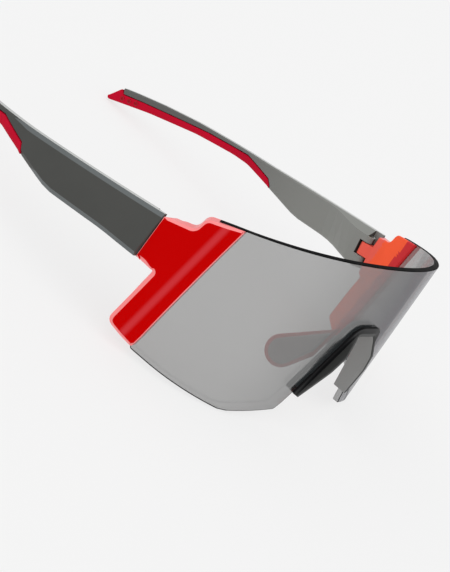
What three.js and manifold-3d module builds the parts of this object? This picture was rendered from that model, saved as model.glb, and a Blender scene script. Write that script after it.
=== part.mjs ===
// Wraparound sport sunglasses: one shield lens, two T-shaped end pieces, folding temples with rubber ear
// grips, screw hinges, and a clip-on nose bracket with two pads. Millimetres, +Z up, the front faces -Y.
//
// The pieces are drawn as worn: the lens's top centre is the origin and the temples' top edge is level.
// The last group pitches them so that the glasses stand open on the lens's lower edge and the ear tips.
// Left is the wearer's left, +X. The right-hand pieces are the left-hand ones mirrored.
import * as THREE from "three";
import { mergeVertices } from "three/addons/utils/BufferGeometryUtils.js";
import Module from "manifold-3d";

const wasm = await Module();
wasm.setup();

// ---- driving dimensions ----

const GAP = 0.3; // clearance between neighbouring pieces

// The lens is a tapered sheet: a plan curve swept down a direction that leans back, and growing as it goes.
const LENS_THICKNESS = 2;
const LENS_LEAN = 0.148; // radians, the lower edge swept back towards the face
const LENS_TAPER = 0.00134; // growth of the plan curve for each millimetre down
const WRAP = 0.00924; // curvature of the plan curve at the centre, radians per millimetre
const WRAP_GAIN = 1.784e-6; // how that tightens towards the ends, radians per cubic millimetre
const BEND_END = 64; // arc length from the centre to where the lens runs straight into its end piece
const TOP_DROP = 0.00144; // fall of the top edge with the square of arc length
const TOP_DROP_END = 3.9e-8; // and with its fourth power

// Where the end piece's front edge, wing and arm lie: p runs back from BEND_END, h runs down the lens.
const FRONT_TOP = 6.2;
const FRONT_BOTTOM = 54;
const FRONT_SLANT = 5.75; // how much further back the front edge is at its bottom
const FRONT_BOW = 0.25; // share of that gained early, so that the edge bows
const SEAM_P = 21; // end of the arm, where the temple starts
const ARM_TOP = 14; // where the arm's top edge leaves the wing
const ARM_BOTTOM = 30.5;
const LENS_TONGUE = 7.2; // length of lens inside the end piece, at the top

// Hinge, as worn: a vertical screw near the inner face of the arm.
const PIVOT = { x: 65.1, y: 48.3 };
const BARREL_R = 2;
const SCREW_R = 0.65;
const SCREW_HEAD_R = 1.15;
const BORE_R = 0.9;
const TONGUE = { top: -13.6, bottom: -18.4 };
const LUGS = { top: -10.9, bottom: -22.9 };
const RECESS_R = 3.5; // hollow in the arm's end that the lugs turn in
const RECESS_BOTTOM = -25; // just below the arm, so that the leg under it stays whole
const SCREW_HEAD = { top: -22.2, bottom: -23.1 };
const SCREW_TOP = -11.4;
const INSERT = { outer: 1.25, inner: BORE_R, top: -11.2, bottom: -13.3 };

// Temple, as worn.
const TEMPLE_TOP = -8.5;
const SEAM_Y = 44.5; // the seam's place at the temple's top edge
const SEAM_RAKE = 0.18; // how far back the seam moves for each millimetre down
const TIP_Y = 172.5;
const GRIP_START_Y = 98.5;

const REST_PITCH = 0.2606; // radians, so that the lens and both ear tips stand on the ground

// ---- small tools ----

const curveSteps = 32;

function solidFromTriangles(vertProperties, triVerts) {
  let volume = 0;
  const at = (i) => new THREE.Vector3().fromArray(vertProperties, 3 * i);
  for (let i = 0; i < triVerts.length; i += 3) {
    volume += at(triVerts[i]).dot(at(triVerts[i + 1]).cross(at(triVerts[i + 2])));
  }
  if (volume < 0) {
    for (let i = 0; i < triVerts.length; i += 3) {
      [triVerts[i], triVerts[i + 1]] = [triVerts[i + 1], triVerts[i]];
    }
  }
  return new wasm.Manifold(new wasm.Mesh({ numProp: 3, vertProperties, triVerts }));
}

function solid(geometry) {
  const bare = geometry.clone();
  bare.deleteAttribute("normal");
  bare.deleteAttribute("uv");
  const merged = mergeVertices(bare, 1e-4);
  return solidFromTriangles(merged.attributes.position.array, new Uint32Array(merged.index.array));
}

// The same solid with every vertex moved by place(x, y, z).
function bent(shape, place) {
  const mesh = shape.getMesh();
  const moved = new Float32Array(mesh.numVert * 3);
  for (let i = 0; i < mesh.numVert; i++) {
    const at = i * mesh.numProp;
    moved.set(place(...mesh.vertProperties.subarray(at, at + 3)), i * 3);
  }
  return solidFromTriangles(moved, new Uint32Array(mesh.triVerts));
}

function geometryOf(shape) {
  const mesh = shape.getMesh();
  const geometry = new THREE.BufferGeometry();
  geometry.setAttribute("position", new THREE.BufferAttribute(new Float32Array(mesh.vertProperties), 3));
  geometry.setIndex(new THREE.BufferAttribute(new Uint32Array(mesh.triVerts), 1));
  const faceted = geometry.toNonIndexed();
  faceted.computeVertexNormals();
  return faceted;
}

// A skin through rings of points, all of one length, closed by flat caps.
function loft(rings) {
  const count = rings[0].length;
  const corners = rings.flat();
  const triangles = [];
  for (let i = 0; i + 1 < rings.length; i++) {
    for (let j = 0; j < count; j++) {
      const [a, b] = [i * count + j, i * count + ((j + 1) % count)];
      triangles.push(a, b, b + count, a, b + count, a + count);
    }
  }
  const cap = capTriangles(rings[0]);
  const last = (rings.length - 1) * count;
  for (const [a, b, c] of cap) triangles.push(a, c, b, last + a, last + b, last + c);
  return solidFromTriangles(new Float32Array(corners.flat()), new Uint32Array(triangles));
}

function capTriangles(ring) {
  const points = ring.map((p) => new THREE.Vector3(...p));
  const normal = new THREE.Vector3();
  points.forEach((p, i) => normal.add(new THREE.Vector3().crossVectors(p, points[(i + 1) % points.length])));
  const turn = new THREE.Quaternion().setFromUnitVectors(normal.normalize(), new THREE.Vector3(0, 0, 1));
  const flat = points.map((p) => p.applyQuaternion(turn)).map((p) => new THREE.Vector2(p.x, p.y));
  return THREE.ShapeUtils.triangulateShape(flat, []);
}

// An outline from [x, y, radius] corners, with each corner rounded by a curve of about that radius.
function roundedShape(corners) {
  const shape = new THREE.Shape();
  corners.forEach(([x, y, radius = 0], i) => {
    const here = new THREE.Vector2(x, y);
    const [before, after] = [corners.at(i - 1), corners[(i + 1) % corners.length]].map(([u, v]) =>
      new THREE.Vector2(u, v).sub(here).setLength(radius).add(here),
    );
    if (i === 0) shape.moveTo(before.x, before.y);
    else shape.lineTo(before.x, before.y);
    if (radius) shape.quadraticCurveTo(x, y, after.x, after.y);
  });
  shape.closePath();
  return shape;
}

function prism(shape, low, high, curveSegments = 4) {
  const depth = high - low;
  const geometry = new THREE.ExtrudeGeometry(shape, { depth, bevelEnabled: false, curveSegments });
  return solid(geometry.translate(0, 0, low));
}

function block(x0, x1, y0, y1, z0, z1) {
  const box = new THREE.BoxGeometry(x1 - x0, y1 - y0, z1 - z0);
  return solid(box.translate((x0 + x1) / 2, (y0 + y1) / 2, (z0 + z1) / 2));
}

// An upright round rod on the hinge's axis.
function pivotRod(radius, low, high, sides = 20) {
  const rod = new THREE.CylinderGeometry(radius, radius, high - low, sides).rotateX(Math.PI / 2);
  return solid(rod.translate(PIVOT.x, PIVOT.y, (low + high) / 2));
}

const mix = THREE.MathUtils.lerp;
const ramp = (value, from, to) => THREE.MathUtils.smoothstep(value, from, to);

// ---- the lens's own coordinates ----

function heading(s) {
  const arc = Math.min(Math.abs(s), BEND_END);
  return WRAP * arc + WRAP_GAIN * arc ** 3;
}

// Plan position at arc length s from the centre, moved inwards by depth.
function planPoint(s, depth) {
  const side = Math.sign(s) || 1;
  const step = Math.abs(s) / curveSteps;
  let [x, y] = [0, 0];
  for (let i = 0; i < curveSteps; i++) {
    const angle = heading((i + 0.5) * step);
    x += Math.cos(angle) * step;
    y += Math.sin(angle) * step;
  }
  const angle = heading(s);
  return [side * (x - Math.sin(angle) * depth), y + Math.cos(angle) * depth];
}

// From plan position and distance down the lens to the place as worn.
function worn(x, y, h) {
  const growth = 1 + LENS_TAPER * h;
  const [cos, sin] = [Math.cos(LENS_LEAN), Math.sin(LENS_LEAN)];
  return [growth * x, growth * y * cos + h * sin, growth * y * sin - h * cos];
}

const onLens = (s, h, depth) => worn(...planPoint(s, depth), h);

// Along the straight end of the lens: p runs back from BEND_END and out is away from the head.
const [ENDX, ENDY] = planPoint(BEND_END, 0);
const END_COS = Math.cos(heading(BEND_END));
const END_SIN = Math.sin(heading(BEND_END));
const endPlan = (p, out) => [ENDX + p * END_COS + out * END_SIN, ENDY + p * END_SIN - out * END_COS];

function slant(h) {
  const share = (h - FRONT_TOP) / (FRONT_BOTTOM - FRONT_TOP);
  return FRONT_SLANT * share * (1 + FRONT_BOW * (1 - share));
}

// ---- lens ----

// The lower edge: nose cut-out, nose corner, flat stretch, and the long rise to the end piece.
const LOWER_EDGE = [
  [0, 22.9],
  [4.6, 22.9],
  [6.9, 24.4],
  [17.9, 53.6],
  [19.2, 55.9],
  [35.4, 59.7],
  [38.6, 59.9],
  [69.7, 55.2],
  [71.5, 53],
  [90, 48.5],
];

function lowerEdge(s) {
  const arc = Math.abs(s);
  const next = LOWER_EDGE.findIndex(([at], i) => i > 0 && arc <= at);
  const [[s0, h0], [s1, h1]] = [LOWER_EDGE[next - 1], LOWER_EDGE[next]];
  return mix(h0, h1, (arc - s0) / (s1 - s0));
}

// Arc lengths of the lens's columns: the corners of its lower edge, and a steady spread between them.
function lensColumns() {
  const last = BEND_END + LENS_TONGUE;
  const spread = Array.from({ length: 16 }, (_, i) => 22 + 3 * i);
  const corners = LOWER_EDGE.slice(1, 7).map(([s]) => s);
  const half = [2.7, 10.5, 14.2, ...corners, ...spread, 65.7, last].sort((a, b) => a - b);
  return [...half.map((s) => -s).reverse(), 0, ...half];
}

const topEdge = (s) => TOP_DROP * s ** 2 + TOP_DROP_END * s ** 4;

// One column of the lens. The last columns lean with the end piece's front edge.
function lensRing(s) {
  const leanShare = ramp(Math.abs(s), 52, BEND_END);
  const shift = (h) => Math.sign(s) * leanShare * slant(h);
  const top = topEdge(s);
  const bottom = lowerEdge(Math.abs(s) + leanShare * FRONT_SLANT);
  const corner = (h, depth) => onLens(s + shift(h), h, depth);
  return [corner(top, 0), corner(bottom, 0), corner(bottom, LENS_THICKNESS), corner(top, LENS_THICKNESS)];
}

const PEGS = [
  { name: "upper", p: 4.6, h: 18 },
  { name: "lower", p: 7.4, h: 42 },
];
const PEG_R = 0.9;
const PEG_HOLE_R = 1.2;
const PEG_INNER = -3.1; // inner end, just under the face of the inner flange
const PEG_OUTER = 0.3; // outer end, inside the outer wall

// A round rod through the end piece along the lens's normal, as worn.
function pegRod(peg, radius, inner, outer) {
  const rod = new THREE.CylinderGeometry(radius, radius, outer - inner, 16);
  rod.translate(0, (inner + outer) / 2, 0);
  return bent(solid(rod), (x, y, z) => {
    const h = peg.h + z;
    return worn(...endPlan(peg.p + x, y), h);
  });
}

function mirrored(shape) {
  return bent(shape, (x, y, z) => [-x, y, z]);
}

function shieldLens() {
  let lens = loft(lensColumns().map(lensRing));
  for (const peg of PEGS) {
    const hole = pegRod(peg, PEG_HOLE_R, -LENS_THICKNESS - 1, 1);
    lens = lens.subtract(hole).subtract(mirrored(hole));
  }
  return lens;
}

// ---- end piece ----

// Its plan section, from the front edge round: [p, out] at the top, and how far each corner moves back
// with the slanted front edge at the bottom.
const END_SECTION = [
  [0, 0.7, 1],
  [4.6, 1.7, 1],
  [12.6, 1.8, 0.3],
  [SEAM_P, 1.16, -0.25],
  [17.8, -3.8, -0.25],
  [15.4, -3.2, 0.05],
  [3.0, -3.2, 0.9],
  [-0.6, -2.6, 1],
];

function endBand() {
  const ring = (h) => END_SECTION.map(([p, out, share]) => worn(...endPlan(p + share * slant(h), out), h));
  return loft([4, 16, 28, 40, 57].map(ring));
}

// The T seen square to the plate: [p, h, corner radius].
const END_OUTLINE = [
  [-3, 5.5],
  [1, 6.6],
  [8, 8.5],
  [10.8, 9.2, 1.6],
  [11.6, ARM_TOP, 1.6],
  [24, ARM_TOP + 2.4],
  [24, ARM_BOTTOM],
  [13.8, ARM_BOTTOM + 0.6, 0.8],
  [15.9, 51, 2.4],
  [6.2, 54.6],
  [-3, 55],
];

function endOutline() {
  const flat = prism(roundedShape(END_OUTLINE), -10, 6);
  return bent(flat, (p, h, out) => worn(...endPlan(p, out), h));
}

function lensSlot() {
  const ring = (h) => {
    const end = LENS_TONGUE + slant(h) + GAP;
    const [out, inner] = [GAP, -LENS_THICKNESS - GAP];
    const corners = [[-6, out], [end, out], [end, inner], [-6, inner]];
    return corners.map(([p, offset]) => worn(...endPlan(p, offset), h));
  };
  return loft([0, 20, 40, 62].map(ring));
}

// The knuckle that carries the hinge screw: a neck from the arm with a round end.
function hingeTongue() {
  const { top, bottom } = TONGUE;
  const neck = block(PIVOT.x - BARREL_R, PIVOT.x + BARREL_R, SEAM_Y - 3, PIVOT.y, bottom, top);
  return neck.add(pivotRod(BARREL_R, bottom, top));
}

function endPiece() {
  const recess = pivotRod(RECESS_R, RECESS_BOTTOM, 5, 32);
  let piece = endBand().intersect(endOutline()).subtract(lensSlot());
  piece = piece.subtract(recess).add(hingeTongue()).subtract(pivotRod(BORE_R, -40, 5));
  for (const peg of PEGS) piece = piece.subtract(pegRod(peg, PEG_HOLE_R, -5, PEG_OUTER + GAP));
  return piece;
}

const lensPeg = (peg) => pegRod(peg, PEG_R, PEG_INNER, PEG_OUTER);

// ---- temple ----

// The outer top edge's distance from the centre plane: a slight bow, then a curve in to the ear tip.
const TEMPLE_PLAN = new THREE.CatmullRomCurve3(
  [
    [67.6, 38],
    [69, SEAM_Y],
    [70.6, 62],
    [71.3, 80],
    [71.3, 97],
    [70.2, 113],
    [66.9, 130],
    [61.6, 147.5],
    [52, TIP_Y],
  ].map(([x, y]) => new THREE.Vector3(x, y, 0)),
);

// Height of the temple's lower edge along its length: a deep blade that steps up to a slim ear section.
const LOWER_LINE = [
  [38, -24.4],
  [47, -23.6],
  [60, -21.9],
  [83.3, -21.3],
  [86.8, -20.5],
  [91.2, -19.2],
  [111, -13.3],
  [118, -12.7],
  [135, -12.8],
  [155, -14.4],
  [TIP_Y, -16.8],
];
const UPPER_LINE = [
  [38, TEMPLE_TOP],
  [100, TEMPLE_TOP - 0.2],
  [118, TEMPLE_TOP + 0.2],
  [135, TEMPLE_TOP + 0.5],
  [150, TEMPLE_TOP + 0.1],
  [166, TEMPLE_TOP - 1],
  [TIP_Y, TEMPLE_TOP - 3],
];

function along(line, y) {
  const next = Math.max(1, line.findIndex(([at]) => y <= at));
  const [[y0, z0], [y1, z1]] = [line[next - 1], line[next]];
  return mix(z0, z1, (y - y0) / (y1 - y0));
}

const INNER_FACE = PIVOT.x - BARREL_R; // inner face of the hinge block

function templeRing(share) {
  const { x, y } = TEMPLE_PLAN.getPoint(share);
  const [top, bottom] = [along(UPPER_LINE, y), along(LOWER_LINE, y)];
  const deep = top - bottom;
  const flare = mix(0.1, 0.21, ramp(y, 44, 62)); // outward lean of the blade going down
  const low = x + flare * deep;
  const thick = mix(3.2, 2.9, ramp(y, 80, 110));
  const blade = ramp(y, 51, 70);
  const inner = (edge) => mix(INNER_FACE, edge - thick, blade);
  const hipped = mix(2.2, 0.5, blade); // fall of the top towards the hinge block's inner face
  const chamfer = mix(1.3, 0.5, ramp(y, 100, 108));
  const foot = Math.min(1.4, deep / 4);
  return [
    [x - 2.6, y, top],
    [x - 0.5, y, top],
    [x, y, top - chamfer],
    [low, y, bottom + foot],
    [low - 0.7, y, bottom],
    [inner(low) + 0.5, y, bottom],
    [inner(low), y, bottom + foot / 2],
    [inner(x), y, top - hipped],
  ];
}

function templeBody() {
  const shares = Array.from({ length: 37 }, (_, i) => i / 36);
  return loft(shares.map(templeRing));
}

// Everything in front of a plane parallel to the arm's end, offset behind it.
function beforeSeam(offset) {
  const side = new THREE.Shape();
  const seam = (z) => SEAM_Y + offset + SEAM_RAKE * (TEMPLE_TOP - z);
  side.moveTo(0, 10).lineTo(seam(10), 10).lineTo(seam(-50), -50).lineTo(0, -50).closePath();
  return bent(prism(side, -90, 90), (y, z, x) => [x, y, z]);
}

// The rear of the temple that the grip takes: its lower half, and the whole tip. The grip itself stops
// short of this by the clearance.
function gripRegion(clearance) {
  const c = clearance;
  const corners = [
    [GRIP_START_Y - c, -30],
    [GRIP_START_Y - c, -16.4 + c],
    [GRIP_START_Y + 1.6 - c, -13.9 + c],
    [GRIP_START_Y + 13, -9.9 + c],
    [130, -9.9 + c],
    [158, -11.5 + c],
    [166 - c, -12.2 + c],
    [167.5 - c, 0],
    [190, 0],
    [190, -30],
  ];
  return bent(prism(roundedShape(corners), -90, 90), (y, z, x) => [x, y, z]);
}

// A thin rib along the middle of the ear section, which the grip is moulded round.
function gripRib(thickness, reach) {
  const shares = Array.from({ length: 15 }, (_, i) => 0.62 + (0.33 * i) / 14);
  const ring = (share) => {
    const { x, y } = TEMPLE_PLAN.getPoint(share);
    const middle = x - 1.1;
    const top = along(UPPER_LINE, y) - 1.2;
    const foot = along(LOWER_LINE, y) + 1.9 - reach;
    return [
      [middle + thickness / 2, y, top],
      [middle + thickness / 2, y, foot],
      [middle - thickness / 2, y, foot],
      [middle - thickness / 2, y, top],
    ];
  };
  return loft(shares.map(ring));
}

const SLOT_TOP = TONGUE.top + GAP + 0.1;
const SLOT_BOTTOM = TONGUE.bottom - GAP - 0.1;

function temple() {
  const slotR = BARREL_R + GAP + 0.1;
  const slot = block(30, PIVOT.x + slotR, 30, PIVOT.y, SLOT_BOTTOM, SLOT_TOP)
    .add(block(30, PIVOT.x, PIVOT.y - 1, PIVOT.y + slotR, SLOT_BOTTOM, SLOT_TOP))
    .add(pivotRod(slotR, SLOT_BOTTOM, SLOT_TOP, 32));
  const frontCorner = block(30, PIVOT.x + slotR, 30, PIVOT.y, -40, 10);
  const lugs = pivotRod(BARREL_R, LUGS.bottom, LUGS.top).subtract(slot);
  const screwHole = pivotRod(BORE_R, -40, SCREW_TOP + GAP)
    .add(pivotRod(SCREW_HEAD_R + GAP, -40, SCREW_HEAD.top + GAP))
    .add(pivotRod(INSERT.outer + 0.25, INSERT.bottom - GAP, INSERT.top + GAP));
  return templeBody()
    .subtract(beforeSeam(GAP))
    .subtract(frontCorner)
    .add(lugs)
    .subtract(slot)
    .subtract(screwHole)
    .subtract(gripRegion(GAP))
    .add(gripRib(0.9, 0));
}

function earGrip() {
  return templeBody().intersect(gripRegion(0)).subtract(gripRib(0.9 + 2 * GAP, GAP));
}

// ---- hinge hardware ----

function hingeScrew() {
  const { top, bottom } = SCREW_HEAD;
  const head = pivotRod(SCREW_HEAD_R, bottom, top);
  const drive = block(PIVOT.x - 2, PIVOT.x + 2, PIVOT.y - 0.2, PIVOT.y + 0.2, bottom - 1, bottom + 0.4);
  return head.add(pivotRod(SCREW_R, top - 0.1, SCREW_TOP)).subtract(drive);
}

function hingeInsert() {
  return pivotRod(INSERT.outer, INSERT.bottom, INSERT.top).subtract(pivotRod(INSERT.inner, -30, 0));
}

// ---- nose bracket ----

const BRACKET = {
  wall: 2.4, // width of the arch inside the cut-out
  rim: 1.2, // how far the rims overlap the lens
  rimDepth: 0.7,
  back: 3.3, // how far the arch reaches behind the lens's outer face
};
// The cut-out's outline that the arch follows: half-width and height of its top, and its side's slope.
const ARCH = { half: 6.3, top: 22.9, legSlope: 0.375, foot: 48.8, roundness: 2.8 };

// A thin lip stands forward along the inner side of each leg: its place across the leg, and its front
// edge as [h, depth] going down.
const LIP = { outer: 1.1, inner: 2.3 };
const LIP_EDGE = [
  [23.5, -0.9],
  [31, -3.3],
  [37, -3.1],
  [49.5, -1],
];

// The arch seen from the front, outer edge moved out from the cut-out by grow, inner edge in by wall.
function archShape(grow, wall) {
  const { half, top, legSlope, foot, roundness } = ARCH;
  const footHalf = half + legSlope * (foot - top);
  const width = grow + wall;
  const [outerFoot, innerFoot] = [Math.min(0.9, 0.25 * width), Math.min(0.3, 0.12 * width)];
  const outer = [
    [-footHalf - grow, foot, outerFoot],
    [-half - grow, top - grow, roundness],
    [half + grow, top - grow, roundness],
    [footHalf + grow, foot, outerFoot],
  ];
  const inner = [
    [footHalf - wall, foot, innerFoot],
    [half - wall, top + wall, roundness],
    [wall - half, top + wall, roundness],
    [wall - footHalf, foot, innerFoot],
  ];
  return roundedShape([...outer, ...inner]);
}

const wrapped = (shape) => bent(shape, (s, h, depth) => onLens(s, h, depth));

function bracketLip() {
  const side = new THREE.Shape();
  const [first, last] = [LIP_EDGE[0], LIP_EDGE.at(-1)];
  side.moveTo(first[0], 0);
  for (const [h, depth] of LIP_EDGE) side.lineTo(h, depth);
  side.lineTo(last[0], 0).closePath();
  const profile = bent(prism(side, -40, 40), (h, depth, s) => [s, h, depth]);
  return prism(archShape(-LIP.outer, LIP.inner), -6, 0).intersect(profile);
}

function noseBracket() {
  const front = -BRACKET.rimDepth - GAP;
  const wall = prism(archShape(-GAP, BRACKET.wall), front, BRACKET.back);
  const rims = prism(archShape(BRACKET.rim, BRACKET.wall), front, LENS_THICKNESS + BRACKET.rimDepth + GAP);
  const groove = prism(archShape(BRACKET.rim + 4, GAP), -GAP, LENS_THICKNESS + GAP);
  return wrapped(wall.add(rims).subtract(groove).add(bracketLip()));
}

// ---- nose pads ----

// A paddle plate from the leg's rear edge to a round end: u runs down along the leg, v away from it
// towards the face, and w away from the nose.
const PAD = {
  root: [10.28, 8.99, -31.5],
  u: [0.368, 0.176, -0.913],
  v: [0.402, 0.855, 0.327],
  w: [0.838, -0.488, 0.244],
  rootFrom: -6.8, // the root edge's ends along the leg
  rootTo: 5.2,
  rootGap: 0.3,
  centre: [11, 8.45], // of the round end
  radius: 5.2,
  rootTaper: 2.4, // the root's upper end draws in this many times faster than the rest
  plate: 1.2,
  plateRim: 0.25, // softening of the plate's rim
};
const PAD_INSET = 1.1; // edge of the carrier left showing round the soft pad
const WINDOW_INSET = 2.7; // edge of the carrier's window

// Points round the paddle, drawn in by inset.
function paddle(inset) {
  const radius = PAD.radius - inset;
  const centre = new THREE.Vector2(...PAD.centre);
  const foot = PAD.rootGap + inset;
  const upper = PAD.rootFrom + PAD.rootTaper * inset;
  const corners = [new THREE.Vector2(PAD.rootTo - inset, foot), new THREE.Vector2(upper, foot)];
  // The angle on the round end where the straight side from each corner meets it.
  const [start, end] = corners.map((corner, i) => {
    const back = corner.clone().sub(centre);
    const turn = Math.acos(radius / back.length());
    return i === 0 ? back.angle() + turn : back.angle() - turn;
  });
  const round = new THREE.Path().absarc(centre.x, centre.y, radius, start - 2 * Math.PI, end, false);
  return [corners[0], ...round.getPoints(10), corners[1]].map(({ x, y }) => [x, y]);
}

// A solid through paddles at [inset, height above the plate's middle].
function padLayers(layers) {
  const [root, u, v, w] = [PAD.root, PAD.u, PAD.v, PAD.w].map((p) => new THREE.Vector3(...p));
  const place = (a, b, c) => root.clone().addScaledVector(u, a).addScaledVector(v, b).addScaledVector(w, c);
  return loft(layers.map(([inset, height]) => paddle(inset).map(([a, b]) => place(a, b, height).toArray())));
}

function nosePadCarrier() {
  const half = PAD.plate / 2;
  const rim = PAD.plateRim;
  const plate = padLayers([
    [rim, -half],
    [0, rim - half],
    [0, half - rim],
    [rim, half],
  ]);
  return plate.subtract(padLayers([[WINDOW_INSET, -2], [WINDOW_INSET, 2]]));
}

// Soft pad: a cushion on the nose side and a thin skin outside, joined through the carrier's window.
function nosePad() {
  const face = PAD.plate / 2 + GAP;
  const cushion = padLayers([
    [PAD_INSET, -face],
    [PAD_INSET, -face - 0.8],
    [PAD_INSET + 0.6, -face - 1.4],
    [PAD_INSET + 1.5, -face - 1.7],
  ]);
  const skin = padLayers([
    [PAD_INSET + 0.4, face + 0.5],
    [PAD_INSET, face + 0.2],
    [PAD_INSET, face],
  ]);
  const plug = padLayers([[WINDOW_INSET + GAP, -face - 0.2], [WINDOW_INSET + GAP, face + 0.2]]);
  return cushion.add(skin).add(plug);
}

// ---- assembly ----

const LOOKS = {
  lens: { color: "#8f908c", roughness: 0.15, transparent: true, opacity: 0.6 },
  red: { color: "#c00a0a", roughness: 0.25 },
  black: { color: "#2a2c2e", roughness: 0.5 },
  grey: { color: "#63625e", roughness: 0.45 },
  grip: { color: "#c2282c", roughness: 0.75 },
  pad: { color: "#72706f", roughness: 0.8 },
  steel: { color: "#b9bbbd", metalness: 1, roughness: 0.35 },
  brass: { color: "#b08d4a", metalness: 1, roughness: 0.4 },
};

function piece(name, shape, look) {
  const mesh = new THREE.Mesh(geometryOf(shape), new THREE.MeshStandardMaterial(LOOKS[look]));
  mesh.name = name;
  return mesh;
}

function leftPieces(side) {
  const group = new THREE.Group();
  group.add(
    piece(`${side}_end_piece`, endPiece(), "red"),
    piece(`${side}_temple`, temple(), "grey"),
    piece(`${side}_ear_grip`, earGrip(), "grip"),
    piece(`${side}_hinge_screw`, hingeScrew(), "steel"),
    piece(`${side}_hinge_insert`, hingeInsert(), "brass"),
    piece(`${side}_nose_pad_carrier`, nosePadCarrier(), "red"),
    piece(`${side}_nose_pad`, nosePad(), "pad"),
  );
  for (const peg of PEGS) group.add(piece(`${side}_lens_peg_${peg.name}`, lensPeg(peg), "red"));
  return group;
}

const right = leftPieces("right");
right.scale.x = -1;

const glasses = new THREE.Group();
glasses.add(piece("shield_lens", shieldLens(), "lens"));
glasses.add(piece("nose_bracket", noseBracket(), "black"));
glasses.add(leftPieces("left"), right);
glasses.rotation.x = -REST_PITCH;
glasses.updateMatrixWorld(true);

// Set down on the ground plane, centred on the origin.
const bounds = new THREE.Box3().setFromObject(glasses, true);
const centre = bounds.getCenter(new THREE.Vector3());
glasses.position.set(-centre.x, -centre.y, -bounds.min.z);

export default glasses;
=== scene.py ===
import math

import bpy
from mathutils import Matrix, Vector
from mathutils.geometry import delaunay_2d_cdt


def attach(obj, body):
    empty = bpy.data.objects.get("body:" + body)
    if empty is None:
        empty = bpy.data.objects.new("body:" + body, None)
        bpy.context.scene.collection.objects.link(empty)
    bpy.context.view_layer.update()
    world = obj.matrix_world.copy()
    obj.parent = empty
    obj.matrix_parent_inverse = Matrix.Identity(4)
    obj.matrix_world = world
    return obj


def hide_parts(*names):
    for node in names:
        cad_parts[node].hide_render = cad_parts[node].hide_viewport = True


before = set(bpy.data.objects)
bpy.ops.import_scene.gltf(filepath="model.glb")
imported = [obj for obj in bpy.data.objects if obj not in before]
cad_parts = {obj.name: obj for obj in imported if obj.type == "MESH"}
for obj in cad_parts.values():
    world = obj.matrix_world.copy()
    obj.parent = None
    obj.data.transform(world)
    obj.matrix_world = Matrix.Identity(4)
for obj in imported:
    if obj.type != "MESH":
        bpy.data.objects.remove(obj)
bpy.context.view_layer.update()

# Wraparound sport sunglasses. Shapes are drawn in millimetres as worn, with the lens's top centre as the
# origin, and rest() puts them in the frame. The left-hand pieces (+X) are drawn and mirrored.

MM = 0.001
PITCH = 0.2606  # radians, the tip from worn to standing, as in the CAD
SHIFT = (0, -78.357, 60.679)  # where the CAD then has the lens's top centre


def rest(x, y, z):
    cos, sin = math.cos(PITCH), math.sin(PITCH)
    return Vector((x, cos * y + sin * z + SHIFT[1], -sin * y + cos * z + SHIFT[2])) * MM


def as_worn(place):
    """The worn y and z of a place in the frame."""
    cos, sin = math.cos(PITCH), math.sin(PITCH)
    y, z = place.y / MM - SHIFT[1], place.z / MM - SHIFT[2]
    return cos * y - sin * z, sin * y + cos * z


# ---- the part's own shape: the same numbers as the CAD ----

LENS_THICKNESS = 2
LENS_LEAN = 0.148
LENS_TAPER = 0.00134
WRAP = 0.00924
WRAP_GAIN = 1.784e-6
BEND_END = 64
LENS_TONGUE = 7.2
FRONT_TOP, FRONT_BOTTOM, FRONT_SLANT, FRONT_BOW = 6.2, 54, 5.75, 0.25
RIDGE_P, SEAM_P = 4.6, 21  # how far back the end piece's ridge and its seam are at the top
TEMPLE_TOP = -8.5
SEAM_Y = 44.5
TIP_Y = 172.5
PIVOT = (65.1, 48.3)
BARREL_R = 2
RECESS_R, RECESS_BOTTOM = 3.5, -25
TONGUE_BOTTOM, TONGUE_TOP = -18.4, -13.6
LOWER_EDGE = [(0, 22.9), (4.6, 22.9), (6.9, 24.4), (17.9, 53.6), (19.2, 55.9), (35.4, 59.7), (38.6, 59.9),
              (69.7, 55.2), (71.5, 53), (90, 48.5)]
TEMPLE_PLAN = [(67.6, 38), (69, SEAM_Y), (70.6, 62), (71.3, 80), (71.3, 97), (70.2, 113), (66.9, 130),
               (61.6, 147.5), (52, TIP_Y)]
LOWER_LINE = [(38, -24.4), (47, -23.6), (60, -21.9), (83.3, -21.3), (86.8, -20.5), (91.2, -19.2),
              (111, -13.3), (118, -12.7), (135, -12.8), (155, -14.4), (TIP_Y, -16.8)]
UPPER_LINE = [(38, TEMPLE_TOP), (100, TEMPLE_TOP - 0.2), (118, TEMPLE_TOP + 0.2), (135, TEMPLE_TOP + 0.5),
              (150, TEMPLE_TOP + 0.1), (166, TEMPLE_TOP - 1), (TIP_Y, TEMPLE_TOP - 3)]


def mix(a, b, t):
    return a + (b - a) * t


def ramp(value, start, end):
    """0 before start, 1 after end, with a smooth change between them."""
    t = min(1, max(0, (value - start) / (end - start)))
    return t * t * (3 - 2 * t)


def along(line, at):
    """Height of a broken line at a place along it."""
    for (x0, y0), (x1, y1) in zip(line, line[1:]):
        if at <= x1:
            return mix(y0, y1, (at - x0) / (x1 - x0))
    return line[-1][1]


def eased(line, at, width):
    """The same line with its corners softened over a width."""
    steps = [(i - 3) / 3 * width for i in range(7)]
    return sum(along(line, min(line[-1][0], at + d)) for d in steps) / len(steps)


def heading(s):
    arc = min(abs(s), BEND_END)
    return WRAP * arc + WRAP_GAIN * arc ** 3


def plan_point(s, depth):
    side = -1 if s < 0 else 1
    step = abs(s) / 32
    x = y = 0
    for i in range(32):
        angle = heading((i + 0.5) * step)
        x += math.cos(angle) * step
        y += math.sin(angle) * step
    angle = heading(s)
    return side * (x - math.sin(angle) * depth), y + math.cos(angle) * depth


def worn(x, y, h):
    growth = 1 + LENS_TAPER * h
    cos, sin = math.cos(LENS_LEAN), math.sin(LENS_LEAN)
    return growth * x, growth * y * cos + h * sin, growth * y * sin - h * cos


def on_lens(s, h, depth):
    return worn(*plan_point(s, depth), h)


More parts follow.
